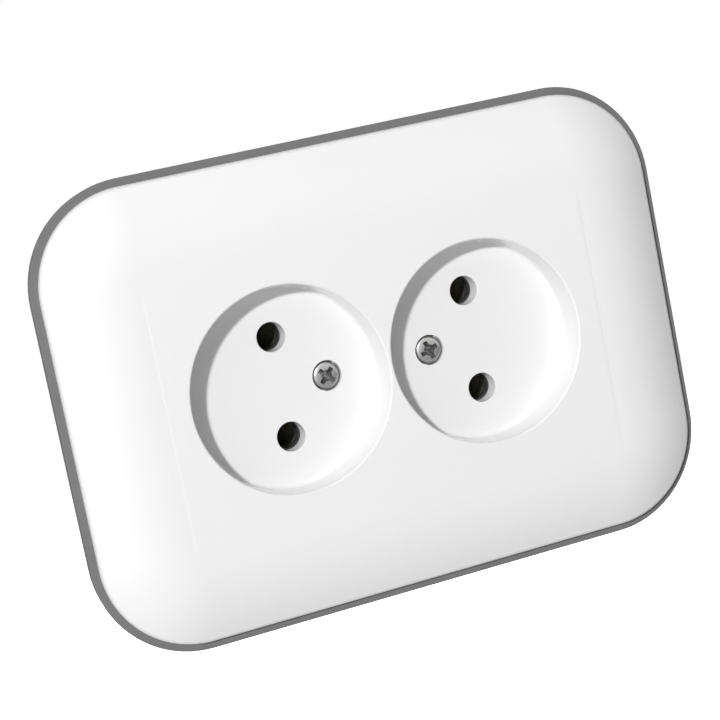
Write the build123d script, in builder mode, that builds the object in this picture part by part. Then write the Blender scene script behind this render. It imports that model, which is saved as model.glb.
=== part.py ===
from build123d import *
import os
from math import hypot, radians, tan

# A flush double wall socket without an earth contact: a crowned white cover with two round
# recesses on a thin grey trim frame, and behind it the insulating base with its contacts,
# which a dished steel frame hangs on a round wall box.
#
# The origin is on the wall, midway between the two box screws. +X is right, +Z is up and the
# front looks along -Y. Heights are measured from the wall towards the front, so a sketch at
# height h lies on Plane.XZ.offset(h), where local x is +X and local y is +Z. All sizes in mm.

# Plug standard
pin_pitch = 19.0
pin_length = 19.0
pin_hole_radius = 2.8
pin_hole_chamfer = 0.1

# Recesses in the cover
recess_radius = 19.25
recess_web = 0.83
recess_depth = 6.7
recess_draft = 3.0
floor_thickness = 1.8
floor_fillet = 0.9
rim_round = 0.6
rim_web_share = 0.45
cup_wall = 1.5
pin_collar_wall = 1.4
pin_collar_length = 1.6

# Cover
front_height = 9.3
cover_wall = 2.0
crown_band = 15.1
plateau_corner = 2.9
edge_height = 1.4
edge_round = 1.4
rib_thickness = 1.2
rib_length = 12.5
rib_gap = 0.4
peg_radius = 1.5
peg_spacing = 40.0
peg_inset = 5.5
peg_back_gap = 0.4

# Trim frame
trim_thickness = 3.5
trim_draft = 6.0
trim_lip = 1.56
trim_edge_round = 0.3
trim_side = 21.67
trim_rim = 5.53
trim_cup_gap = 6.0
trim_ear_gap = 0.5
trim_opening_corner = 10.0
peg_clearance = 0.15

# Cover screws and their threaded inserts
screw_offset = 9.15
screw_radius = 1.7
screw_length = 13.0
screw_head_radius = 2.7
screw_head_height = 1.5
screw_head_round = 0.45
screw_head_clearance = 0.2
screw_head_sink = 0.15
screw_seat = 1.8
screw_boss_wall = 1.4
cross_length = 3.8
cross_width = 0.8
cross_depth = 0.95
cross_taper = 6.0
cross_turns = {-1: 50.0, 1: 20.0}
insert_radius = 3.0
insert_length = 8.0
thread_clearance = 0.05
tip_clearance = 1.0

# Support frame
sheet = 1.0
frame_cup_gap = 0.3
window_clearance = 0.3
dish_margin = 2.35
joggle_gap = 1.1
ear_half_width = 19.0
ear_corner = 6.0
ear_end = 8.0
box_screw_spacing = 60.0
box_slot_width = 4.2
box_slot_length = 7.0
rivet_radius = 1.25
rivet_head_radius = 2.0
rivet_head_angle = 90.0
rivet_length = 6.0
rivet_spacing = 24.0
rivet_clearance = 0.1

# Socket base and its rear cover
platform_gap = 0.2
socket_clearance = 0.2
base_pin_radius = 2.6
front_wall = 2.5
base_wall = 2.0
base_corner = 7.0
base_flange = 2.3
rivet_flange = 4.3
contact_room = 5.45
strip_room = 3.5
divider = 1.6
post_wall = 1.5
pad_height = 1.8
pad_length = 4.0
tip_room = 3.0
rear_thickness = 1.6
rear_screw_inset = 4.0
rear_screw_radius = 1.4
rear_screw_length = 9.0
rear_head_radius = 2.6
rear_head_height = 1.7
rear_head_round = 0.55
rear_slot_width = 0.8
rear_slot_depth = 0.7

# Contacts and terminals
strip_width = 8.0
strip_thickness = 0.8
strip_end = 4.2
contact_sheet = 0.6
contact_hole_radius = 3.0
leaf_root = 3.3
leaf_grip = 1.9
leaf_tip = 3.0
leaf_width = 6.0
contact_tail = 8.2
contact_rivet_radius = 1.2
contact_rivet_head = 2.0
contact_rivet_head_height = 0.8
contact_rivet_inset = 1.9
spring_sheet = 0.5
spring_height = 3.0
spring_clearance = 0.1
terminal_width = 8.0
terminal_depth = 8.8
wire_radius = 2.1
wire_entry_radius = 3.0
terminal_screw_radius = 1.7
terminal_head_radius = 3.0
terminal_head_height = 2.2
terminal_slot_width = 0.9
terminal_slot_depth = 1.1
terminal_access_clearance = 0.5
terminal_post = 5.0

# Heights, from the front to the back
edge_top = trim_thickness + edge_height
floor_front = front_height - recess_depth
floor_back = floor_front - floor_thickness
collar_back = floor_back - pin_collar_length
screw_head_top = floor_front - screw_head_sink
screw_head_seat = screw_head_top - screw_head_height
boss_back = screw_head_seat - screw_seat
platform_front = floor_back - platform_gap
frame_front = floor_back - frame_cup_gap
frame_back = frame_front - sheet
cavity_front = frame_back - front_wall
strip_front = cavity_front - pad_height
strip_back = strip_front - strip_thickness
contact_back = strip_back - contact_sheet
pin_tip = floor_front - pin_length
rear_front = pin_tip - tip_room
rear_back = rear_front - rear_thickness
terminal_back = strip_back - terminal_depth
wire_height = (strip_back + terminal_back) / 2 - terminal_screw_radius / 2
insert_back = boss_back - insert_length
screw_tip = screw_head_seat - screw_length
rivet_tip = frame_front - rivet_length
rivet_head_height = (rivet_head_radius - rivet_radius) / tan(radians(rivet_head_angle / 2))
boss_depth = rivet_tip - base_wall
grip_height = (contact_back + pin_tip) / 2

# Places across the plate
recess_pitch = 2 * recess_radius + recess_web
recess_x = recess_pitch / 2
floor_radius = recess_radius - recess_depth * tan(radians(recess_draft))
pin_z = pin_pitch / 2
screw_x = recess_x - screw_offset
cup_radius = recess_radius + cup_wall
cup_reach = recess_x + cup_radius
collar_radius = pin_hole_radius + pin_collar_wall
screw_hole_radius = screw_head_radius + screw_head_clearance
screw_boss_radius = screw_hole_radius + screw_boss_wall
base_width = recess_pitch + 2 * (contact_room + base_wall)
base_height = pin_pitch + strip_width + 2 * (strip_room + base_wall)
platform_width = base_width - 2 * base_flange
platform_height = base_height - 2 * rivet_flange
window_width = platform_width + 2 * window_clearance
window_height = platform_height + 2 * window_clearance
dish_radius = hypot(window_width / 2, window_height / 2) + dish_margin
joggle = max(cup_radius, base_height / 2) + joggle_gap
ear_reach = box_screw_spacing / 2 + ear_end
rivet_z = (window_height + base_height) / 4
post_radius = insert_radius + post_wall
rear_screw_x = base_width / 2 - base_wall - rear_screw_inset
contact_rivet_x = recess_x - contact_tail + contact_rivet_inset
pad_x = (terminal_head_radius + contact_rivet_x - contact_rivet_head) / 2

# Outlines of the trim frame and the cover
trim_width = 2 * (cup_reach + trim_side)
trim_height = 2 * (ear_reach + trim_ear_gap + trim_rim)
trim_corner = crown_band + plateau_corner + trim_lip
opening_width = 2 * (cup_reach + trim_cup_gap)
opening_height = 2 * (ear_reach + trim_ear_gap)
cover_width = trim_width - 2 * trim_lip
cover_height = trim_height - 2 * trim_lip
cover_corner = trim_corner - trim_lip
peg_x = opening_width / 2 + peg_inset
crown_drop = front_height - edge_top
crown_radius = (crown_band**2 + crown_drop**2) / (2 * crown_drop)
crown_overhang = crown_radius - crown_band
same_size = 1e-3

os.makedirs("parts", exist_ok=True)


def save(part, node):
    """Label a finished piece and write it as its own file."""
    part.label = node
    export_step(part, f"parts/{node}.step")


def rings(builder, radius):
    """The circular edges of one radius, sorted into groups from the front to the back."""
    circles = builder.edges().filter_by(GeomType.CIRCLE)
    return circles.filter_by(lambda edge: abs(edge.radius - radius) < same_size).group_by(Axis.Y)


def crowned_block(inset, back):
    """The cover's outer form, moved inwards by inset: its front rolls back to the edge."""
    front = front_height - inset
    grow = 2 * (crown_overhang - inset)
    with BuildPart() as block:
        with BuildSketch(Plane.XZ.offset(front)):
            RectangleRounded(cover_width + grow, cover_height + grow, plateau_corner + crown_radius - inset)
        extrude(amount=-2 * crown_radius)
        fillet(block.edges().group_by(Axis.Y)[0], crown_radius - inset)
        with BuildSketch(Plane.XZ.offset(back)):
            RectangleRounded(cover_width - 2 * inset, cover_height - 2 * inset, cover_corner - inset)
        extrude(amount=front - back, mode=Mode.INTERSECT)
    return block.part


# Cover: a crowned shell, with what stands behind its front cut to the same crown
with BuildPart() as cover_back:
    with BuildSketch(Plane.XZ.offset(floor_back)):
        with GridLocations(recess_pitch, 0, 2, 1):
            Circle(cup_radius)
    extrude(amount=recess_depth + floor_thickness)
    with BuildSketch(Plane.XZ.offset(trim_thickness + rib_gap)):
        Rectangle(2 * (cup_reach + rib_length), rib_thickness)
        with GridLocations(recess_pitch, 0, 2, 1):
            Rectangle(rib_thickness, 2 * (cup_radius + rib_length))
    extrude(amount=front_height - trim_thickness - rib_gap)
    with BuildSketch(Plane.XZ.offset(peg_back_gap)):
        with GridLocations(2 * peg_x, peg_spacing, 2, 2):
            Circle(peg_radius)
    extrude(amount=front_height - peg_back_gap)
    add(crowned_block(0, floor_back), mode=Mode.INTERSECT)

with BuildPart() as cover:
    add(crowned_block(0, trim_thickness))
    edge_ring = cover.edges().filter_by_position(Axis.Y, -edge_top - same_size, -edge_top + same_size)
    fillet(edge_ring, min(edge_round, edge_height))
    add(crowned_block(cover_wall, trim_thickness), mode=Mode.SUBTRACT)
    add(cover_back.part)
    with BuildSketch(Plane.XZ.offset(front_height)):
        with GridLocations(recess_pitch, 0, 2, 1):
            Circle(recess_radius)
    extrude(amount=-recess_depth, taper=recess_draft, mode=Mode.SUBTRACT)
    fillet(rings(cover, recess_radius)[0], min(rim_round, rim_web_share * recess_web))
    fillet(rings(cover, floor_radius)[0], floor_fillet)
    with BuildSketch(Plane.XZ.offset(floor_back)):
        with GridLocations(recess_pitch, pin_pitch, 2, 2):
            Circle(collar_radius)
    extrude(amount=-pin_collar_length)
    with BuildSketch(Plane.XZ.offset(floor_back)):
        with GridLocations(2 * screw_x, 0, 2, 1):
            Circle(screw_boss_radius)
    extrude(amount=boss_back - floor_back)
    with Locations(Plane.XZ.offset(floor_front)):
        with GridLocations(recess_pitch, pin_pitch, 2, 2):
            Hole(pin_hole_radius, floor_front - collar_back)
        with GridLocations(2 * screw_x, 0, 2, 1):
            CounterBoreHole(
                screw_radius + screw_head_clearance,
                screw_hole_radius,
                floor_front - screw_head_seat,
                floor_front - boss_back,
            )
    chamfer(rings(cover, pin_hole_radius)[0], pin_hole_chamfer)
save(cover.part, "cover")

# Trim frame: a flat ring on the wall that the cover stands on
with BuildPart() as trim_frame:
    with BuildSketch(Plane.XZ.offset(trim_thickness)):
        RectangleRounded(trim_width, trim_height, trim_corner)
    extrude(amount=-trim_thickness, taper=trim_draft)
    fillet(trim_frame.edges().group_by(Axis.Y)[0], trim_edge_round)
    with BuildSketch(Plane.XZ):
        RectangleRounded(opening_width, opening_height, trim_opening_corner)
        with GridLocations(2 * peg_x, peg_spacing, 2, 2):
            Circle(peg_radius + peg_clearance)
    extrude(amount=trim_thickness, mode=Mode.SUBTRACT)
save(trim_frame.part, "trim_frame")

# Cover screws: domed cross-head screws in the recess floors
with BuildPart() as cover_screws:
    with BuildSketch(Plane.XZ.offset(screw_head_seat)):
        with GridLocations(2 * screw_x, 0, 2, 1):
            Circle(screw_head_radius)
    extrude(amount=screw_head_height)
    fillet(cover_screws.edges().group_by(Axis.Y)[0], screw_head_round)
    with BuildSketch(Plane.XZ.offset(screw_head_seat)):
        with GridLocations(2 * screw_x, 0, 2, 1):
            Circle(screw_radius)
    extrude(amount=-screw_length)
    with BuildSketch(Plane.XZ.offset(screw_head_top)):
        for side, turn in cross_turns.items():
            with Locations(Location((side * screw_x, 0), turn)):
                Rectangle(cross_length, cross_width)
                Rectangle(cross_width, cross_length)
    extrude(amount=-cross_depth, taper=cross_taper, mode=Mode.SUBTRACT)
save(cover_screws.part, "cover_screws")

# Support frame: a steel sheet dished into the box, with two ears on the wall
with BuildPart() as support_frame:
    with BuildSketch(Plane.YZ.offset(-dish_radius)):
        with Locations((-(frame_front + frame_back) / 2, 0)):
            Rectangle(sheet, 2 * (joggle + sheet))
        with GridLocations(0, 2 * joggle + sheet, 1, 2):
            with Locations(((-frame_back - sheet) / 2, 0)):
                Rectangle(sheet - frame_back, sheet)
        with GridLocations(0, joggle + ear_reach, 1, 2):
            with Locations((-sheet / 2, 0)):
                Rectangle(sheet, ear_reach - joggle)
    extrude(amount=2 * dish_radius)
    with BuildSketch(Plane.XZ.offset(frame_back)):
        Circle(dish_radius)
        Rectangle(2 * dish_radius, 2 * (joggle + sheet), mode=Mode.INTERSECT)
        RectangleRounded(2 * ear_half_width, 2 * ear_reach, ear_corner)
        RectangleRounded(window_width, window_height, base_corner, mode=Mode.SUBTRACT)
        with GridLocations(0, box_screw_spacing, 1, 2):
            SlotOverall(box_slot_length, box_slot_width, rotation=90, mode=Mode.SUBTRACT)
    extrude(amount=sheet - frame_back, mode=Mode.INTERSECT)
    with Locations(Plane.XZ.offset(frame_front)):
        with GridLocations(rivet_spacing, 2 * rivet_z, 2, 2):
            CounterSinkHole(
                rivet_radius + rivet_clearance,
                rivet_head_radius + rivet_clearance,
                sheet,
                rivet_head_angle,
            )
save(support_frame.part, "support_frame")

# Frame rivets: flush heads, because the recess floors lie close in front of them
with BuildPart() as frame_rivets:
    with BuildSketch(Plane.XZ.offset(frame_front)):
        with GridLocations(rivet_spacing, 2 * rivet_z, 2, 2):
            Circle(rivet_radius)
    extrude(amount=-rivet_length)
    with BuildSketch(Plane.XZ.offset(frame_front)):
        with GridLocations(rivet_spacing, 2 * rivet_z, 2, 2):
            Circle(rivet_head_radius)
    extrude(amount=-rivet_head_height, taper=rivet_head_angle / 2)
save(frame_rivets.part, "frame_rivets")


def base_cavity(back, front, bosses, pads):
    """One slice of the space inside the base, with the posts that stand in it left out."""
    with BuildPart() as cavity:
        with BuildSketch(Plane.XZ.offset(back)):
            RectangleRounded(base_width - 2 * base_wall, base_height - 2 * base_wall, base_corner - base_wall)
            Rectangle(base_width, divider, mode=Mode.SUBTRACT)
            with GridLocations(2 * screw_x, 0, 2, 1):
                Circle(post_radius, mode=Mode.SUBTRACT)
            with GridLocations(2 * rear_screw_x, 0, 2, 1):
                Circle(rear_screw_radius + post_wall, mode=Mode.SUBTRACT)
            if bosses:
                with GridLocations(rivet_spacing, 2 * rivet_z, 2, 2):
                    Circle(rivet_radius + post_wall, mode=Mode.SUBTRACT)
            if pads:
                with GridLocations(2 * pad_x, pin_pitch, 2, 2):
                    Rectangle(pad_length, strip_width, mode=Mode.SUBTRACT)
        extrude(amount=front - back)
    return cavity.part


# Socket base: an insulating box, open at the back, with a platform that fills the frame's window
with BuildPart() as socket_base:
    with BuildSketch(Plane.XZ.offset(rear_front)):
        RectangleRounded(base_width, base_height, base_corner)
    extrude(amount=frame_back - rear_front)
    with BuildSketch(Plane.XZ.offset(frame_back)):
        RectangleRounded(platform_width, platform_height, base_corner - window_clearance)
    extrude(amount=platform_front - frame_back)
    add(base_cavity(rear_front, boss_depth, False, False), mode=Mode.SUBTRACT)
    add(base_cavity(boss_depth, strip_front, True, False), mode=Mode.SUBTRACT)
    add(base_cavity(strip_front, cavity_front, True, True), mode=Mode.SUBTRACT)
    with Locations(Plane.XZ.offset(platform_front)):
        with GridLocations(recess_pitch, pin_pitch, 2, 2):
            CounterBoreHole(
                base_pin_radius,
                collar_radius + socket_clearance,
                platform_front - collar_back + socket_clearance,
                platform_front - cavity_front,
            )
        with GridLocations(2 * screw_x, 0, 2, 1):
            Hole(screw_boss_radius + socket_clearance, platform_front - boss_back)
            Hole(insert_radius + thread_clearance, platform_front - insert_back)
            Hole(screw_radius + socket_clearance, platform_front - screw_tip + tip_clearance)
        with GridLocations(0, pin_pitch, 1, 2):
            Hole(terminal_head_radius + terminal_access_clearance, platform_front - cavity_front)
        with GridLocations(rivet_spacing, 2 * rivet_z, 2, 2):
            Hole(rivet_radius + thread_clearance, platform_front - rivet_tip + socket_clearance)
    with BuildSketch(Plane.XZ.offset(rear_front)):
        with GridLocations(2 * rear_screw_x, 0, 2, 1):
            Circle(rear_screw_radius + thread_clearance)
    extrude(amount=rear_screw_length - rear_thickness + socket_clearance, mode=Mode.SUBTRACT)
    with BuildSketch(Plane.XY.offset(base_height / 2)):
        with Locations((0, -wire_height)):
            Circle(wire_entry_radius)
    extrude(amount=-base_wall, mode=Mode.SUBTRACT)
    with BuildSketch(Plane.XY.offset(-base_height / 2)):
        with Locations((0, -wire_height)):
            Circle(wire_entry_radius)
    extrude(amount=base_wall, mode=Mode.SUBTRACT)
save(socket_base.part, "socket_base")

# Threaded inserts that the cover screws turn into
with BuildPart() as cover_inserts:
    with BuildSketch(Plane.XZ.offset(boss_back)):
        with GridLocations(2 * screw_x, 0, 2, 1):
            Circle(insert_radius)
            Circle(screw_radius + thread_clearance, mode=Mode.SUBTRACT)
    extrude(amount=-insert_length)
save(cover_inserts.part, "cover_inserts")

# Rear cover: an insulating plate whose two posts hold the terminals down
with BuildPart() as rear_cover:
    with BuildSketch(Plane.XZ.offset(rear_back)):
        RectangleRounded(base_width, base_height, base_corner)
    extrude(amount=rear_thickness)
    with BuildSketch(Plane.XZ.offset(rear_front)):
        with GridLocations(0, pin_pitch, 1, 2):
            Rectangle(terminal_post, terminal_post)
    extrude(amount=terminal_back - rear_front)
    with BuildSketch(Plane.XZ.offset(rear_back)):
        with GridLocations(2 * rear_screw_x, 0, 2, 1):
            Circle(rear_screw_radius + socket_clearance)
    extrude(amount=rear_thickness, mode=Mode.SUBTRACT)
save(rear_cover.part, "rear_cover")

with BuildPart() as rear_cover_screws:
    with BuildSketch(Plane.XZ.offset(rear_back)):
        with GridLocations(2 * rear_screw_x, 0, 2, 1):
            Circle(rear_head_radius)
    extrude(amount=-rear_head_height)
    fillet(rear_cover_screws.edges().group_by(Axis.Y)[-1], rear_head_round)
    with BuildSketch(Plane.XZ.offset(rear_back)):
        with GridLocations(2 * rear_screw_x, 0, 2, 1):
            Circle(rear_screw_radius)
    extrude(amount=rear_screw_length)
    with BuildSketch(Plane.XZ.offset(rear_back - rear_head_height)):
        with GridLocations(2 * rear_screw_x, 0, 2, 1):
            Rectangle(2 * rear_head_radius, rear_slot_width)
    extrude(amount=rear_slot_depth, mode=Mode.SUBTRACT)
save(rear_cover_screws.part, "rear_cover_screws")

# Contacts: one brass strip for each pole, with a fork and a spring behind every pin hole
for pole, side in (("line", 1), ("neutral", -1)):
    with BuildPart() as strip:
        with BuildSketch(Plane.XZ.offset(strip_back)):
            with Locations((0, side * pin_z)):
                Rectangle(recess_pitch + 2 * strip_end, strip_width)
                Circle(terminal_screw_radius + socket_clearance, mode=Mode.SUBTRACT)
                with GridLocations(recess_pitch, 0, 2, 1):
                    Circle(contact_hole_radius, mode=Mode.SUBTRACT)
                with GridLocations(2 * contact_rivet_x, 0, 2, 1):
                    Circle(contact_rivet_radius + thread_clearance, mode=Mode.SUBTRACT)
        extrude(amount=strip_thickness)
    save(strip.part, f"{pole}_strip")

    with BuildPart() as terminal:
        with BuildSketch(Plane.XZ.offset(terminal_back)):
            with Locations((0, side * pin_z)):
                RectangleRounded(terminal_width, strip_width, contact_sheet)
        extrude(amount=terminal_depth)
        with Locations(Plane.XZ.offset(strip_back)):
            with Locations((0, side * pin_z)):
                Hole(terminal_screw_radius + thread_clearance, strip_back - wire_height)
        with BuildSketch(Plane.XY.offset(side * pin_z - strip_width / 2)):
            with Locations((0, -wire_height)):
                Circle(wire_radius)
        extrude(amount=strip_width, mode=Mode.SUBTRACT)
    save(terminal.part, f"{pole}_terminal")

    for end, along in (("left", -1), ("right", 1)):
        pin_x = along * recess_x
        with BuildPart() as contact:
            with BuildSketch(Plane.XZ.offset(contact_back)):
                with Locations((pin_x + along * (strip_end - contact_tail) / 2, side * pin_z)):
                    Rectangle(strip_end + contact_tail, strip_width)
                with Locations((pin_x, side * pin_z)):
                    Circle(contact_hole_radius, mode=Mode.SUBTRACT)
                with Locations((along * contact_rivet_x, side * pin_z)):
                    Circle(contact_rivet_radius + thread_clearance, mode=Mode.SUBTRACT)
            extrude(amount=contact_sheet)
            for hand in (-1, 1):
                with BuildSketch(Plane.XY.offset(side * pin_z - leaf_width / 2)):
                    with BuildLine():
                        leaf = [
                            (pin_x + hand * leaf_root, -strip_back),
                            (pin_x + hand * leaf_grip, -grip_height),
                            (pin_x + hand * leaf_tip, -pin_tip),
                        ]
                        leaf_outside = [(x + hand * contact_sheet, y) for x, y in leaf]
                        ThreePointArc(*leaf)
                        ThreePointArc(*leaf_outside)
                        Line(leaf[0], leaf_outside[0])
                        Line(leaf[-1], leaf_outside[-1])
                    make_face()
                extrude(amount=leaf_width)
        save(contact.part, f"{pole}_contact_{end}")

        arm = leaf_grip + contact_sheet + spring_clearance
        bridge = leaf_width / 2 + spring_clearance
        with BuildPart() as spring:
            with BuildSketch(Plane.XZ.offset(grip_height - spring_height / 2)):
                with Locations((pin_x, side * (pin_z + spring_sheet / 2))):
                    Rectangle(2 * (arm + spring_sheet), 2 * bridge + spring_sheet)
                with Locations((pin_x, side * pin_z)):
                    Rectangle(2 * arm, 2 * bridge, mode=Mode.SUBTRACT)
            extrude(amount=spring_height)
        save(spring.part, f"{pole}_spring_{end}")

# Rivets that hold the forks to the strips
with BuildPart() as contact_rivets:
    with BuildSketch(Plane.XZ.offset(strip_front)):
        with GridLocations(2 * contact_rivet_x, pin_pitch, 2, 2):
            Circle(contact_rivet_head)
    extrude(amount=contact_rivet_head_height)
    with BuildSketch(Plane.XZ.offset(contact_back)):
        with GridLocations(2 * contact_rivet_x, pin_pitch, 2, 2):
            Circle(contact_rivet_head)
    extrude(amount=-contact_rivet_head_height)
    with BuildSketch(Plane.XZ.offset(contact_back)):
        with GridLocations(2 * contact_rivet_x, pin_pitch, 2, 2):
            Circle(contact_rivet_radius)
    extrude(amount=strip_thickness + contact_sheet)
save(contact_rivets.part, "contact_rivets")

# Terminal screws, reached through the base from the front
with BuildPart() as terminal_screws:
    with BuildSketch(Plane.XZ.offset(strip_front)):
        with GridLocations(0, pin_pitch, 1, 2):
            Circle(terminal_head_radius)
    extrude(amount=terminal_head_height)
    with BuildSketch(Plane.XZ.offset(strip_front + terminal_head_height)):
        with GridLocations(0, pin_pitch, 1, 2):
            Rectangle(2 * terminal_head_radius, terminal_slot_width)
    extrude(amount=-terminal_slot_depth, mode=Mode.SUBTRACT)
    with BuildSketch(Plane.XZ.offset(strip_front)):
        with GridLocations(0, pin_pitch, 1, 2):
            Circle(terminal_screw_radius)
    extrude(amount=wire_height - strip_front)
save(terminal_screws.part, "terminal_screws")
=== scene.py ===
# %% [markdown]
# This scene dresses a double wall socket: a white crowned cover with two round recesses, a thin
# grey trim frame behind it, and the contacts, base and steel frame that sit inside the wall.
# The solids come ready made and to size, so the scene starts by loading them. Everything is in
# metres, the front looks along -Y, and the wall is the plane Y = 0.

# %% Load the solids
from math import cos, pi, radians, sin

import bpy
from mathutils import Matrix, Vector


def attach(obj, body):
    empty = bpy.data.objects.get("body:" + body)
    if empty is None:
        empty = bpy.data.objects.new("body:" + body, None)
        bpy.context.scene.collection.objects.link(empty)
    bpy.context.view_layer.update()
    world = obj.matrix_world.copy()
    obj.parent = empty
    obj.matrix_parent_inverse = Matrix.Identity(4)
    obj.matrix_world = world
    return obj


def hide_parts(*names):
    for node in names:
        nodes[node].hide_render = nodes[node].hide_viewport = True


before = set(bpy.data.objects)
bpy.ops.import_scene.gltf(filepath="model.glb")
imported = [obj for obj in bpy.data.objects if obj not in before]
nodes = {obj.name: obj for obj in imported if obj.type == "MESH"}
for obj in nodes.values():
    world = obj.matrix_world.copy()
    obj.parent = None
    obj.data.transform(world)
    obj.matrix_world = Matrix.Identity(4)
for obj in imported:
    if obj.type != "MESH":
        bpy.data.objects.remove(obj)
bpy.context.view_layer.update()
mm = 0.001

# %% [markdown]
# The camera stands where the photographer stood: to the left of the plate and a little above it,
# tilted, with a long lens. Azimuth, elevation and roll turn it, and the distance sets how strongly
# the far side shrinks. A Track To constraint could aim it too, but it would lose the roll. The
# three axes of the camera, written as a matrix, keep it.

# %% Camera
azimuth, elevation, roll = radians(-18.845), radians(7.790), radians(-11.335)
target = Vector((-2.653, 0, 0.969)) * mm
distance = 401.721 * mm

towards = Vector((sin(azimuth) * cos(elevation), -cos(azimuth) * cos(elevation), sin(elevation)))
level = (-towards).cross(Vector((0, 0, 1))).normalized()
upright = level.cross(-towards)
right = level * cos(roll) + upright * sin(roll)
up = upright * cos(roll) - level * sin(roll)
turned_axes = Matrix((right, up, towards)).transposed().to_4x4()

camera_data = bpy.data.cameras.new("photo_camera")
camera_data.sensor_width = 36
camera_data.lens = 106.361
camera_data.clip_start = 0.01
camera = bpy.data.objects.new("photo_camera", camera_data)
camera.matrix_world = Matrix.Translation(target + towards * distance) @ turned_axes
bpy.context.scene.collection.objects.link(camera)
bpy.context.scene.camera = camera
print("camera at", [round(v, 4) for v in camera.location], "lens", round(camera_data.lens, 1), "mm")

# %% [markdown]
# Finishes and repeated shapes are both made of nodes, and long trees are easier to read as sums.
# This small class holds one output socket, and each operator adds the Math node that does it.
# Every other node comes from one method: its type, then its settings, then what its sockets get.
# The same class serves the shader trees and the geometry trees.

# %% A socket that can be calculated with
class Wire:
    """One output of a node tree. Without a socket it is only a place to add nodes."""

    def __init__(self, tree, socket=None):
        self.tree, self.socket = tree, socket

    def node(self, kind, settings=None, inputs=None, output=0):
        made = self.tree.nodes.new(kind)
        for name, value in (settings or {}).items():
            setattr(made, name, value)
        for name, value in (inputs or {}).items():
            for one in value if isinstance(value, list) else [value]:
                if isinstance(one, Wire):
                    self.tree.links.new(one.socket, made.inputs[name])
                else:
                    made.inputs[name].default_value = one
        return Wire(self.tree, made.outputs[output] if len(made.outputs) else None)

    def out(self, name):
        return Wire(self.tree, self.socket.node.outputs[name])

    def math(self, operation, first, second=0.0):
        return self.node("ShaderNodeMath", {"operation": operation}, {0: first, 1: second})

    def vector(self, operation, first, second):
        return self.node("ShaderNodeVectorMath", {"operation": operation}, {0: first, 1: second})

    def split(self):
        parts = self.node("ShaderNodeSeparateXYZ", None, {0: self})
        return parts, parts.out("Y"), parts.out("Z")

    def joined(self, x, y, z):
        return self.node("ShaderNodeCombineXYZ", None, {"X": x, "Y": y, "Z": z})

    def mix(self, low, high):
        factor, low_colour, high_colour, mixed_colour = 0, 6, 7, 2
        inputs = {factor: self, low_colour: low, high_colour: high}
        return self.node("ShaderNodeMix", {"data_type": "RGBA"}, inputs, mixed_colour)

    def between(self, low, high):
        settings = {"interpolation_type": "SMOOTHSTEP"}
        return self.node("ShaderNodeMapRange", settings, {0: self, 1: low, 2: high})

    def power(self, other):
        return self.math("POWER", self, other)

    def __add__(self, other):
        return self.math("ADD", self, other)

    def __sub__(self, other):
        return self.math("SUBTRACT", self, other)

    def __rsub__(self, other):
        return self.math("SUBTRACT", other, self)

    def __mul__(self, other):
        return self.math("MULTIPLY", self, other)

    def __truediv__(self, other):
        return self.math("DIVIDE", self, other)

    def __rtruediv__(self, other):
        return self.math("DIVIDE", other, self)

    __radd__, __rmul__ = __add__, __mul__


# %% [markdown]
# Every finish starts the same way, with a Principled shader that reads the piece's own
# coordinates, so the grain stays in place when the piece moves. What varies over the surface
# comes in as wires, and what is the same all over is set as a number. Noise sizes are given in
# metres, because a grain only looks right at the right scale.

# %% Start and end a finish
def start_finish(name):
    material = bpy.data.materials.new(name)
    material.use_nodes = True
    material.node_tree.nodes.clear()
    pen = Wire(material.node_tree)
    return material, pen, pen.node("ShaderNodeTexCoord", output="Object")


def noise(place, size, detail=2.0):
    inputs = {"Vector": place, "Scale": 1 / size, "Detail": detail}
    return place.node("ShaderNodeTexNoise", None, inputs)


def stretched(place, x, y, z):
    return place.vector("MULTIPLY", place, (x, y, z))


def bumped(height, depth, strength):
    inputs = {"Height": height, "Distance": depth, "Strength": strength}
    return height.node("ShaderNodeBump", None, inputs, "Normal")


def end_finish(pen, inputs):
    shader = pen.node("ShaderNodeBsdfPrincipled", None, inputs)
    pen.node("ShaderNodeOutputMaterial", None, {"Surface": shader})


def grey(value):
    return (value, value, value, 1.0)


finishes = {}

# %% [markdown]
# The cover is moulded in white urea plastic with a soft shine. A polished mould leaves almost no
# grain, so its bump is only a thousandth of a millimetre deep. Slow clouds of tone and roughness
# keep the broad front from looking like paint. Plugs have polished the recesses, so that their
# walls mirror the floor at a slant. That polish is a mask: the distance from the nearer recess
# axis, where the absolute value of X folds both recesses into one. The same mask also paints
# shade into the recesses, making their white a little darker. The mould has an insert around them,
# and its edge is printed on the front as a step so low that only the light shows it. The bump
# takes it as a smooth step in X that fades out towards the upper and lower end.

# %% White cover plastic
finishes["cover_plastic"], pen, place = start_finish("white_cover_plastic")
cloud = noise(place, 28 * mm)
grain = noise(place, 0.3 * mm)
recess_x, recess_radius, polish_and_shade_share = 19.665 * mm, 19.25 * mm, 1.03
insert_x, insert_z, half_run, fade_run = 43.43 * mm, 26 * mm, 0.2 * mm, 4 * mm
grain_height, step_height = 0.001, 0.03
x, _, z = place.split()
aside = pen.math("ABSOLUTE", x) - recess_x
from_axis = (aside * aside + z * z).power(0.5)
# This mask polishes the recesses and also paints shade in them: their white is a little darker.
polished_and_shaded = 1 - from_axis.between(recess_radius, polish_and_shade_share * recess_radius)
outside = pen.math("ABSOLUTE", x).between(insert_x - half_run, insert_x + half_run)
printed = outside * (1 - pen.math("ABSOLUTE", z).between(insert_z - fade_run, insert_z))
end_finish(
    pen,
    {
        "Base Color": (0.5 + cloud * 0.5 - polished_and_shaded * 0.5).mix(grey(0.775), grey(0.81)),
        "Roughness": 0.32 + cloud * 0.06 + grain * 0.05 - polished_and_shaded * 0.24,
        "Normal": bumped(grain * grain_height - printed * step_height, depth=mm, strength=1.0),
    },
)
print("white plastic: nodes", len(pen.tree.nodes))

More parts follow.
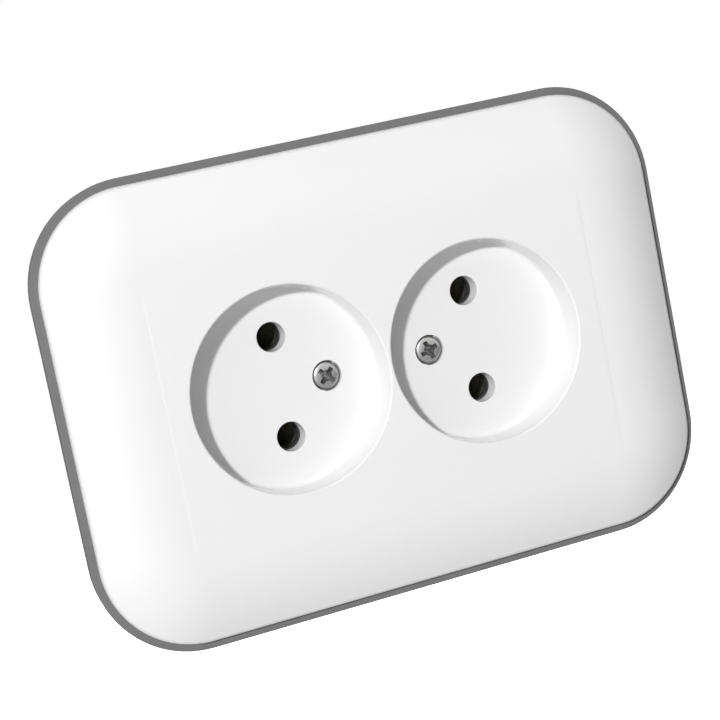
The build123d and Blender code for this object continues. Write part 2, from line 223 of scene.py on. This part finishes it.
# %% [markdown]
# The trim frame is a grey plastic from a spark-eroded mould, which leaves a fine matt grain all
# over. Two noises make it: a fine one for the pits and a wider one for the tone. The shine is set
# low, because a matt skin scatters what a smooth one would mirror at a slant.

# %% Grey trim plastic
finishes["trim_plastic"], pen, place = start_finish("grey_trim_plastic")
pits = noise(place, 0.18 * mm, detail=3.0)
tone = noise(place, 7 * mm)
end_finish(
    pen,
    {
        "Base Color": (tone * 0.7 + pits * 0.3).mix(grey(0.16), grey(0.194)),
        "Roughness": 0.52 + pits * 0.16,
        "Specular IOR Level": 0.05,
        "Normal": bumped(pits, depth=0.012 * mm, strength=0.5),
    },
)
print("grey plastic: nodes", len(pen.tree.nodes))

# %% [markdown]
# The base is pressed from black thermoset powder. Its filler shows as small paler flecks, and
# the skin is a little uneven. The flecks are the tops of a fine noise: a smooth step keeps only
# the highest spots.

# %% Black base plastic
finishes["base_plastic"], pen, place = start_finish("black_base_plastic")
flow = noise(place, 6 * mm, detail=3.0)
fleck = noise(place, 0.45 * mm).between(0.6, 0.68)
end_finish(
    pen,
    {
        "Base Color": (flow * 0.4 + fleck * 0.6).mix(grey(0.028), grey(0.09)),
        "Roughness": 0.34 + flow * 0.18,
        "Normal": bumped(flow * 0.7 + fleck * 0.3, depth=0.02 * mm, strength=0.4),
    },
)
print("black plastic: nodes", len(pen.tree.nodes))

# %% [markdown]
# The rear cover is a sheet of brown fibre board. Pressed paper fibres run mostly one way, so one
# noise is drawn out along X and a weaker one along Z. Scaling the coordinates by different
# amounts on each axis is all that stretching takes.

# %% Brown fibre board
finishes["rear_board"], pen, place = start_finish("brown_fibre_board")
dark_board, pale_board = (0.1, 0.052, 0.027, 1), (0.22, 0.125, 0.07, 1)
along = noise(stretched(place, 0.06, 1.0, 1.0), 0.25 * mm, detail=3.0)
across = noise(stretched(place, 1.0, 1.0, 0.1), 0.3 * mm, detail=3.0)
stain = noise(place, 9 * mm)
fibre = along * 0.65 + across * 0.35
tone = (fibre * 0.7 + stain * 0.3).between(0.3, 0.7)
end_finish(
    pen,
    {
        "Base Color": tone.mix(dark_board, pale_board),
        "Roughness": 0.5 + fibre * 0.25,
        "Normal": bumped(fibre, depth=0.03 * mm, strength=0.5),
    },
)
print("fibre board: nodes", len(pen.tree.nodes))

# %% [markdown]
# The support frame is cut from zinc-plated sheet. Zinc freezes in patches, the spangle, that
# mirror the room a little differently, and the rolling mill leaves fine lines below it. A Voronoi
# texture gives each patch its own grey, and a noise drawn out along X gives the lines.

# %% Zinc-plated sheet
finishes["frame_steel"], pen, place = start_finish("zinc_plated_sheet")
dark_zinc, pale_zinc, patch_size = (0.46, 0.47, 0.48, 1), (0.62, 0.63, 0.64, 1), 3.5 * mm
cells = {"Vector": place, "Scale": 1 / patch_size}
spangle = pen.node("ShaderNodeTexVoronoi", None, cells, "Color").split()[0]
lines = noise(stretched(place, 0.03, 1.0, 1.0), 0.22 * mm, detail=3.0)
end_finish(
    pen,
    {
        "Base Color": (spangle * 0.6 + lines * 0.4).mix(dark_zinc, pale_zinc),
        "Metallic": 1.0,
        "Roughness": 0.26 + spangle * 0.14 + lines * 0.06,
        "Normal": bumped(lines, depth=0.01 * mm, strength=0.3),
    },
)
print("zinc sheet: nodes", len(pen.tree.nodes))

# %% [markdown]
# Strips, forks and terminals are brass with a thin coat of tin, grey with a breath of yellow. It
# is all that shows through the pin holes, where little light gets in, so it is fairly rough and
# throws that light about. Where the tin has worn, brown brass comes through. That wear is one
# mask that does three things at once: it darkens, roughens and takes some of the mirror away.

# %% Tinned contact brass
finishes["contact_brass"], pen, place = start_finish("tinned_contact_brass")
dark_tin, pale_tin, bare_brass = (0.52, 0.51, 0.43, 1), (0.68, 0.67, 0.58, 1), (0.4, 0.3, 0.16, 1)
lines = noise(stretched(place, 0.04, 1.0, 1.0), 0.15 * mm, detail=3.0)
worn = noise(place, 4 * mm, detail=4.0).between(0.5, 0.8)
tin = lines.mix(dark_tin, pale_tin)
end_finish(
    pen,
    {
        "Base Color": worn.mix(tin, bare_brass),
        "Metallic": 0.85 - worn * 0.2,
        "Roughness": 0.42 + worn * 0.15 + lines * 0.08,
        "Normal": bumped(lines, depth=0.006 * mm, strength=0.4),
    },
)
print("tinned brass: nodes", len(pen.tree.nodes))

# %% [markdown]
# The springs behind the forks are hardened steel. Tempering leaves a thin oxide that runs from
# straw to blue with the heat, so the colour here follows one slow noise. The rivets that hold
# strip and fork together are soft aluminium, and the closing tool leaves dents, made with a
# Voronoi bump.

# %% Spring steel and rivet metal
finishes["spring_steel"], pen, place = start_finish("tempered_spring_steel")
straw, blue = (0.34, 0.27, 0.17, 1), (0.17, 0.2, 0.29, 1)
heat = noise(place, 2.5 * mm).between(0.35, 0.65)
scratch = noise(stretched(place, 1.0, 1.0, 0.05), 0.12 * mm)
end_finish(
    pen,
    {
        "Base Color": heat.mix(straw, blue),
        "Metallic": 1.0,
        "Roughness": 0.24 + scratch * 0.14,
        "Normal": bumped(scratch, depth=0.004 * mm, strength=0.4),
    },
)
finishes["rivet_metal"], pen, place = start_finish("soft_rivet_metal")
dark_rivet, pale_rivet, dent_size = (0.56, 0.56, 0.57, 1), (0.7, 0.7, 0.71, 1), 0.5 * mm
cells = {"Vector": place, "Scale": 1 / dent_size}
dents = pen.node("ShaderNodeTexVoronoi", None, cells, "Distance")
dull = noise(place, 1.2 * mm)
end_finish(
    pen,
    {
        "Base Color": dull.mix(dark_rivet, pale_rivet),
        "Metallic": 1.0,
        "Roughness": 0.3 + dull * 0.15,
        "Normal": bumped(dents, depth=0.02 * mm, strength=0.5),
    },
)
print("finishes so far:", sorted(finishes))

# %% [markdown]
# Screws are turned, so their finish needs to know where the axis of each screw is. The screws
# made below carry that with them as an attribute: the place of every point measured from the
# middle of its own head. From it come the rings of the turning tool, and a painted shade below
# the top of the head, most of it around the rim and less in the driver recess. The painted shade
# darkens the plating, takes away some of its mirror and roughens it.

# %% Plated screw steel
finishes["screw_steel"], pen, place = start_finish("plated_screw_steel")
own = pen.node("ShaderNodeAttribute", {"attribute_name": "own_place"}, output="Vector")
dark_plate, pale_plate = (0.4, 0.4, 0.4, 1), (0.56, 0.56, 0.555, 1)
shade_dark, ring_width = (0.05, 0.048, 0.045, 1), 0.14 * mm
own_x, own_y, own_z = own.split()
from_axis = (own_x * own_x + own_y * own_y).power(0.5)
wander = noise(place, 0.6 * mm)
rings = pen.math("SINE", from_axis * (2 * pi / ring_width) + wander * 5.0)
# Painted shade: below the top of the head the plating turns dark, most of all around the rim.
deep = (wander * 0.2 * mm - own_z).between(0.22 * mm, 0.75 * mm)
painted_shade = deep * (0.4 + 0.6 * from_axis.between(1.6 * mm, 2.4 * mm))
plate = (rings * 0.12 + wander * 0.76 + 0.12).mix(dark_plate, pale_plate)
end_finish(
    pen,
    {
        "Base Color": painted_shade.mix(plate, shade_dark),
        "Metallic": 1.0 - painted_shade * 0.6,
        "Roughness": 0.2 + wander * 0.1 + painted_shade * 0.35,
        "Normal": bumped(rings, depth=0.002 * mm, strength=0.5),
    },
)
print("screw steel: nodes", len(pen.tree.nodes))

# %% [markdown]
# Now every solid gets the finish its slot asks for. Only the material changes hands. The solid
# and its mesh stay exactly as they came.

# %% Hand out the finishes
for name, node in nodes.items():
    for slot in node.material_slots:
        slot.material = finishes[slot.material.name]
print({name: node.material_slots[0].material.name for name, node in nodes.items()})

# %% [markdown]
# The screws of the solids are plain: a disc, a rod and a groove. A real machine screw has a
# domed head, a tapered driver recess and a thread, and the socket holds six of them in three
# sizes. That is a shape that follows a rule, so it is made once with Geometry Nodes and then
# placed on points. The first piece of the rule is a lathe: a flat grid rolled up, where one
# function gives radius and height for each turn and row. Points that fall together at the seam
# and the poles are merged, so the body is closed.

# %% A lathe for Geometry Nodes
weld = 0.002 * mm


def start_tree(name, inputs):
    tree = bpy.data.node_groups.new(name, "GeometryNodeTree")
    tree.interface.new_socket("Geometry", in_out="OUTPUT", socket_type="NodeSocketGeometry")
    tree.interface.new_socket("Geometry", in_out="INPUT", socket_type="NodeSocketGeometry")
    for label, kind in inputs.items():
        tree.interface.new_socket(label, in_out="INPUT", socket_type="NodeSocket" + kind)
    given = Wire(tree).node("NodeGroupInput")
    return tree, given, {label: given.out(label) for label in inputs}


def merged(pen, mesh):
    return pen.node("GeometryNodeMergeByDistance", None, {"Geometry": mesh, "Distance": weld})


def turned(pen, columns, rows, profile):
    size = {"Size X": 1.0, "Size Y": 1.0, "Vertices X": columns + 1, "Vertices Y": rows + 1}
    grid = pen.node("GeometryNodeMeshGrid", None, size)
    x, y, _ = pen.node("GeometryNodeInputPosition").split()
    turn, row = x + 0.5, (y + 0.5) * rows
    radius, height = profile(turn, row)
    angle = turn * (2 * pi)
    place = pen.joined(radius * pen.math("COSINE", angle), radius * pen.math("SINE", angle), height)
    rolled = pen.node("GeometryNodeSetPosition", None, {"Geometry": grid, "Position": place})
    return merged(pen, rolled)


# %% [markdown]
# The head is a superellipse turned on the lathe: the same formula as a circle, with a power
# above two, which gives a flat top, a full rim and a soft edge between them. Row zero sits on the
# axis under the head, so the underside is closed too. Squareness is the power of the formula.

# %% The screw head
head_columns, head_rows = 64, 22


def screw_head(pen, radius, height, squareness):
    def profile(turn, row):
        along = pen.math("MAXIMUM", (row - 1) / (head_rows - 1), 0.0) * (pi / 2)
        out = pen.math("MAXIMUM", pen.math("COSINE", along), 0.0).power(2.0 / squareness)
        rise = pen.math("SINE", along).power(2.0 / squareness)
        off_axis = pen.math("GREATER_THAN", row, 0.5)
        return radius * out * off_axis, height * rise

    return turned(pen, head_columns, head_rows, profile)


# %% [markdown]
# The shank is the same lathe with its rows tilted, so that each row climbs one pitch in one
# turn. A row is then a helix, and the thread is only a matter of which rows stand out. After a
# full turn every row meets the next pitch, so the seam closes by itself. The thread fades at
# both ends, the tip is a little thinner, and the first and last rows run to the axis to close them.

# %% The threaded shank
shank_columns, rows_per_turn, turns = 32, 6, 16
tip_share, fade_turns, plain_turns = 0.8, 1.5, 0.5


def screw_shank(pen, radius, length, buried, thread):
    rows = rows_per_turn * (turns + 1) + 2
    pitch = (length + buried) / turns

    def profile(turn, row):
        climb = (row - 1) / rows_per_turn
        height = (climb + turn - 1) * pitch - length
        height = pen.math("MINIMUM", pen.math("MAXIMUM", height, length * -1.0), buried)
        ridge = pen.math("PINGPONG", climb, 0.5) * 2.0
        from_tip = (height + length) / pitch
        below_head = 0.0 - height / pitch
        fade = from_tip.between(0.0, fade_turns) * below_head.between(plain_turns, fade_turns)
        inside = pen.math("GREATER_THAN", row, 0.5) * pen.math("LESS_THAN", row, rows - 0.5)
        tip = tip_share + from_tip.between(0.0, 1.0) * (1 - tip_share)
        return (radius - thread + thread * ridge * fade) * tip * inside, height

    return turned(pen, shank_columns, rows, profile)


# %% [markdown]
# The driver recess is cut out with bars that narrow as they go down, as the punch that makes it
# does. One bar gives a slot. Two bars and a cone between them give a cross recess. A modelled
# groove on the head's faces would also work, but a Boolean leaves crisp edges and needs no loops.

# %% The driver recess
cone_sides, cone_share, cone_tip, cone_reach = 24, 1.15, 0.04, 1.2


def boolean(pen, operation, meshes):
    settings = {"operation": operation, "solver": "EXACT"}
    return pen.node("GeometryNodeMeshBoolean", settings, meshes)


def screw_drive(pen, length, width, depth, taper, cross):
    box = {"Size": pen.joined(length, width, depth * 2.0)}
    bar = pen.node("GeometryNodeMeshCube", None, box)
    x, y, z = pen.node("GeometryNodeInputPosition").split()
    narrowing = 1.0 + taper * z / depth
    place = pen.joined(x * narrowing, y * narrowing, z)
    bar = pen.node("GeometryNodeSetPosition", None, {"Geometry": bar, "Position": place})
    other = pen.node("GeometryNodeTransform", None, {"Geometry": bar, "Rotation": (0, 0, pi / 2)})
    sizes = {
        "Vertices": cone_sides,
        "Radius Top": width * (cone_share * 2),
        "Radius Bottom": width * cone_tip,
        "Depth": depth * (cone_reach * 2),
    }
    cone = pen.node("GeometryNodeMeshCone", None, sizes)
    sunk = pen.joined(0.0, 0.0, depth * -cone_reach)
    cone = pen.node("GeometryNodeTransform", None, {"Geometry": cone, "Translation": sunk})
    both = boolean(pen, "UNION", {"Mesh 2": [bar, other, cone]})
    choice = {"Switch": cross, "False": bar, "True": both}
    return pen.node("GeometryNodeSwitch", {"input_type": "GEOMETRY"}, choice)


# %% [markdown]
# The tree puts the pieces together: head and shank are united, the recess is cut, and every
# point stores its place as seen from the middle of the head. Edges sharper than a limit stay
# sharp and the rest are smoothed. Then the screw is put on each point, turned by the angles that
# the point carries. Realize Instances turns the copies into one mesh, and Set Material ends it.

# %% The machine screw tree
screw_inputs = {
    "Head Radius": "Float",
    "Head Height": "Float",
    "Squareness": "Float",
    "Shank Radius": "Float",
    "Length": "Float",
    "Thread Depth": "Float",
    "Drive Length": "Float",
    "Drive Width": "Float",
    "Drive Depth": "Float",
    "Drive Taper": "Float",
    "Cross Drive": "Bool",
    "Material": "Material",
}
buried_share, sharp_angle = 0.3, radians(28)
screw_tree, pen, given = start_tree("machine_screw", screw_inputs)
head_top = pen.joined(0.0, 0.0, given["Head Height"])
head = screw_head(pen, given["Head Radius"], given["Head Height"], given["Squareness"])
buried = given["Head Height"] * buried_share
shank = screw_shank(pen, given["Shank Radius"], given["Length"], buried, given["Thread Depth"])
whole = boolean(pen, "UNION", {"Mesh 2": [head, shank]})
drive = screw_drive(
    pen,
    given["Drive Length"],
    given["Drive Width"],
    given["Drive Depth"],
    given["Drive Taper"],
    given["Cross Drive"],
)
drive = pen.node("GeometryNodeTransform", None, {"Geometry": drive, "Translation": head_top})
screw = merged(pen, boolean(pen, "DIFFERENCE", {"Mesh 1": whole, "Mesh 2": drive}))
own_place = pen.vector("SUBTRACT", pen.node("GeometryNodeInputPosition"), head_top)
stored = {"Geometry": screw, "Name": "own_place", "Value": own_place}
per_point = {"data_type": "FLOAT_VECTOR", "domain": "POINT"}
screw = pen.node("GeometryNodeStoreNamedAttribute", per_point, stored)
sharp = pen.math("GREATER_THAN", pen.node("GeometryNodeInputMeshEdgeAngle"), sharp_angle)
smooth = {"Geometry": screw, "Shade Smooth": True}
screw = pen.node("GeometryNodeSetShadeSmooth", {"domain": "FACE"}, smooth)
flat = {"Geometry": screw, "Selection": sharp, "Shade Smooth": False}
screw = pen.node("GeometryNodeSetShadeSmooth", {"domain": "EDGE"}, flat)
aim = pen.node("GeometryNodeInputNamedAttribute", {"data_type": "FLOAT_VECTOR"}, {"Name": "aim"})
turn = pen.node("FunctionNodeEulerToRotation", None, {"Euler": aim})
placing = {"Points": given["Material"].out("Geometry"), "Instance": screw, "Rotation": turn}
placed = pen.node("GeometryNodeInstanceOnPoints", None, placing)
placed = pen.node("GeometryNodeRealizeInstances", None, {"Geometry": placed})
plated = {"Geometry": placed, "Material": given["Material"]}
placed = pen.node("GeometryNodeSetMaterial", None, plated)
pen.node("NodeGroupOutput", None, {"Geometry": placed})
print("screw tree: nodes", len(screw_tree.nodes), "inputs", len(screw_inputs))

# %% [markdown]
# A set of screws starts as a mesh of bare points, one under each head, with the angles as an
# attribute. Seats are given in millimetres, and aims as a tilt and a twist in degrees. The
# modifier's inputs are set by their identifiers before it first runs. The result is copied into a
# plain mesh and the modifier is taken off, so nothing is left to evaluate.

# %% Make one set of screws
def make_screws(name, seats, aims, sizes, stands_for):
    points = bpy.data.meshes.new(name)
    points.from_pydata([tuple(v * mm for v in seat) for seat in seats], [], [])
    angles = points.attributes.new("aim", "FLOAT_VECTOR", "POINT")
    for item, (tilt, twist) in zip(angles.data, aims):
        item.vector = (radians(tilt), radians(twist), 0.0)
    piece = bpy.data.objects.new(name, points)
    bpy.context.scene.collection.objects.link(piece)
    modifier = piece.modifiers.new("machine_screw", "NODES")
    modifier.node_group = screw_tree
    sizes = {**sizes, "Material": finishes["screw_steel"]}
    for item in screw_tree.interface.items_tree:
        if item.in_out == "INPUT" and item.name in sizes:
            modifier[item.identifier] = sizes[item.name]
    graph = bpy.context.evaluated_depsgraph_get()
    made = bpy.data.meshes.new_from_object(
        piece.evaluated_get(graph), preserve_all_data_layers=True, depsgraph=graph
    )
    piece.modifiers.clear()
    piece.data = made
    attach(piece, "root")
    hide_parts(stands_for)
    print(name, "faces", len(made.polygons), "size in mm", [round(v / mm, 2) for v in piece.dimensions])


# %% [markdown]
# Two screws hold the cover. They sit in the floor of the recesses between the pins, with a cross
# recess, and whoever fitted them left them at different angles. Their heads stand a little below
# the floor, and the gap around them shows as a dark ring.

# %% Cover screws
cover_screw_x, cover_seat = 10.515, 0.95
make_screws(
    "cover_screw_set",
    seats=[(-cover_screw_x, -cover_seat, 0), (cover_screw_x, -cover_seat, 0)],
    aims=[(90, -46), (90, -20)],
    sizes={
        "Head Radius": 2.7 * mm,
        "Head Height": 1.5 * mm,
        "Squareness": 4.6,
        "Shank Radius": 1.7 * mm,
        "Length": 13.0 * mm,
        "Thread Depth": 0.3 * mm,
        "Drive Length": 3.6 * mm,
        "Drive Width": 0.9 * mm,
        "Drive Depth": 1.9 * mm,
        "Drive Taper": 0.4,
        "Cross Drive": True,
    },
    stands_for="cover_screws",
)

# %% [markdown]
# Behind the wall two slotted screws hold the rear cover to the base, and two more, with taller
# heads, clamp the wires. They come from the same tree with other numbers. The terminal screws
# are turned from the front, and the rear ones from the back, so their tilt has the other sign.

# %% Rear and terminal screws
rear_screw_x, rear_seat = 21.115, 21.0
make_screws(
    "rear_screw_set",
    seats=[(-rear_screw_x, rear_seat, 0), (rear_screw_x, rear_seat, 0)],
    aims=[(-90, 0), (-90, 0)],
    sizes={
        "Head Radius": 2.6 * mm,
        "Head Height": 1.7 * mm,
        "Squareness": 3.0,
        "Shank Radius": 1.4 * mm,
        "Length": 9.0 * mm,
        "Thread Depth": 0.25 * mm,
        "Drive Length": 6.0 * mm,
        "Drive Width": 0.8 * mm,
        "Drive Depth": 0.7 * mm,
        "Drive Taper": 0.0,
        "Cross Drive": False,
    },
    stands_for="rear_cover_screws",
)
terminal_z, terminal_seat = 9.5, 4.8
make_screws(
    "terminal_screw_set",
    seats=[(0, terminal_seat, -terminal_z), (0, terminal_seat, terminal_z)],
    aims=[(90, 0), (90, 0)],
    sizes={
        "Head Radius": 3.0 * mm,
        "Head Height": 2.2 * mm,
        "Squareness": 6.0,
        "Shank Radius": 1.7 * mm,
        "Length": 6.05 * mm,
        "Thread Depth": 0.3 * mm,
        "Drive Length": 7.0 * mm,
        "Drive Width": 0.9 * mm,
        "Drive Depth": 1.1 * mm,
        "Drive Taper": 0.0,
        "Cross Drive": False,
    },
    stands_for="terminal_screws",
)

# %% [markdown]
# The photograph is lit from the upper left by one lamp of modest size. The shadows inside the
# recesses give its direction, and their soft edges its size. It stands close enough for the light
# to fade towards the far end of the plate, which a sun lamp can't do. The power is worked out
# from the light wanted on the plate, so the lamp can be moved without losing the exposure.

# %% Key lamp
def make_lamp(name, direction, away, width, on_plate):
    lamp_data = bpy.data.lights.new(name, "AREA")
    lamp_data.shape = "DISK"
    lamp_data.size = width
    lamp_data.energy = on_plate * pi * away * away
    lamp = bpy.data.objects.new(name, lamp_data)
    direction = Vector(direction).normalized()
    lamp.location = direction * away
    lamp.rotation_mode = "QUATERNION"
    lamp.rotation_quaternion = direction.to_track_quat("Z", "Y")
    bpy.context.scene.collection.objects.link(lamp)
    print(name, "power", round(lamp_data.energy, 2), "at", [round(v, 2) for v in lamp.location])


make_lamp("key_lamp", (-0.542, -0.770, 0.338), away=2.6, width=0.2, on_plate=2.84)

# %% [markdown]
# A wide weak lamp above does the rest of the fading, from the top of the plate to its foot. It is
# large and near, so it throws no shadow edge of its own.

# %% Overhead lamp
make_lamp("overhead_lamp", (-0.1, -0.5, 0.86), away=0.42, width=0.3, on_plate=0.57)

# %% [markdown]
# From the front a lamp behind the plate changes nothing. Without it, though, the steel frame and
# the base would be lost in the dark when somebody walks around the socket.

# %% Back lamp
make_lamp("back_lamp", (0.35, 0.85, 0.4), away=1.5, width=0.8, on_plate=1.8)

# %% [markdown]
# The world is dim for light and white for the eye: camera rays, mirror rays and rays through clear
# things see a white studio, and everything else gets a soft grey that only lifts the shadows. A
# brighter world would flatten the crown of the cover.

# %% World
ambient = 0.06
world = bpy.data.worlds.new("studio")
bpy.context.scene.world = world
world.use_nodes = True
world.node_tree.nodes.clear()
pen = Wire(world.node_tree)
ray = pen.node("ShaderNodeLightPath", output="Is Camera Ray")
seen = pen.math("MAXIMUM", ray.out("Is Glossy Ray"), ray.out("Is Transmission Ray"))
seen = pen.math("MAXIMUM", seen, ray)
strength = ambient + seen * (1 - ambient)
sky = pen.node("ShaderNodeBackground", None, {"Color": grey(1.0), "Strength": strength})
pen.node("ShaderNodeOutputWorld", None, {"Surface": sky})
print("world light", ambient)

# %% [markdown]
# The socket is photographed as if it hung in front of a white sweep. The floor lies well below
# it, so its shadow falls outside the picture and the paper stays white. To the camera alone the
# floor glows, enough to reach white without more light on the socket, and more so far out, where
# the lamps are weak. A faint mottle keeps it paper and not a flat card.

# %% Floor
half, drop = 3.0, -0.3
near_glow, added_glow, near, far = 0.77, 0.2, 0.7, 2.5
corners = [(-half, -half, drop), (half, -half, drop), (half, half, drop), (-half, half, drop)]
floor_mesh = bpy.data.meshes.new("floor")
floor_mesh.from_pydata(corners, [], [(0, 1, 2, 3)])
floor = bpy.data.objects.new("floor", floor_mesh)
bpy.context.scene.collection.objects.link(floor)
floor_finish, pen, place = start_finish("pale_floor")
ray = pen.node("ShaderNodeLightPath", output="Is Camera Ray")
mottle = noise(place, 60 * mm)
paper = pen.node("ShaderNodeBsdfDiffuse", None, {"Color": mottle.mix(grey(0.79), grey(0.81))})
away = pen.node("ShaderNodeVectorMath", {"operation": "LENGTH"}, {0: place}, "Value")
lift = near_glow + away.between(near, far) * added_glow
glow = pen.node("ShaderNodeEmission", None, {"Color": ray * lift, "Strength": 1.0})
both = pen.node("ShaderNodeAddShader", None, {0: paper, 1: glow})
pen.node("ShaderNodeOutputMaterial", None, {"Surface": both})
floor_mesh.materials.append(floor_finish)
print("floor at", drop, "m")

# %% [markdown]
# Standard view keeps colours as they were written.

# %% View
bpy.context.scene.view_settings.view_transform = "Standard"
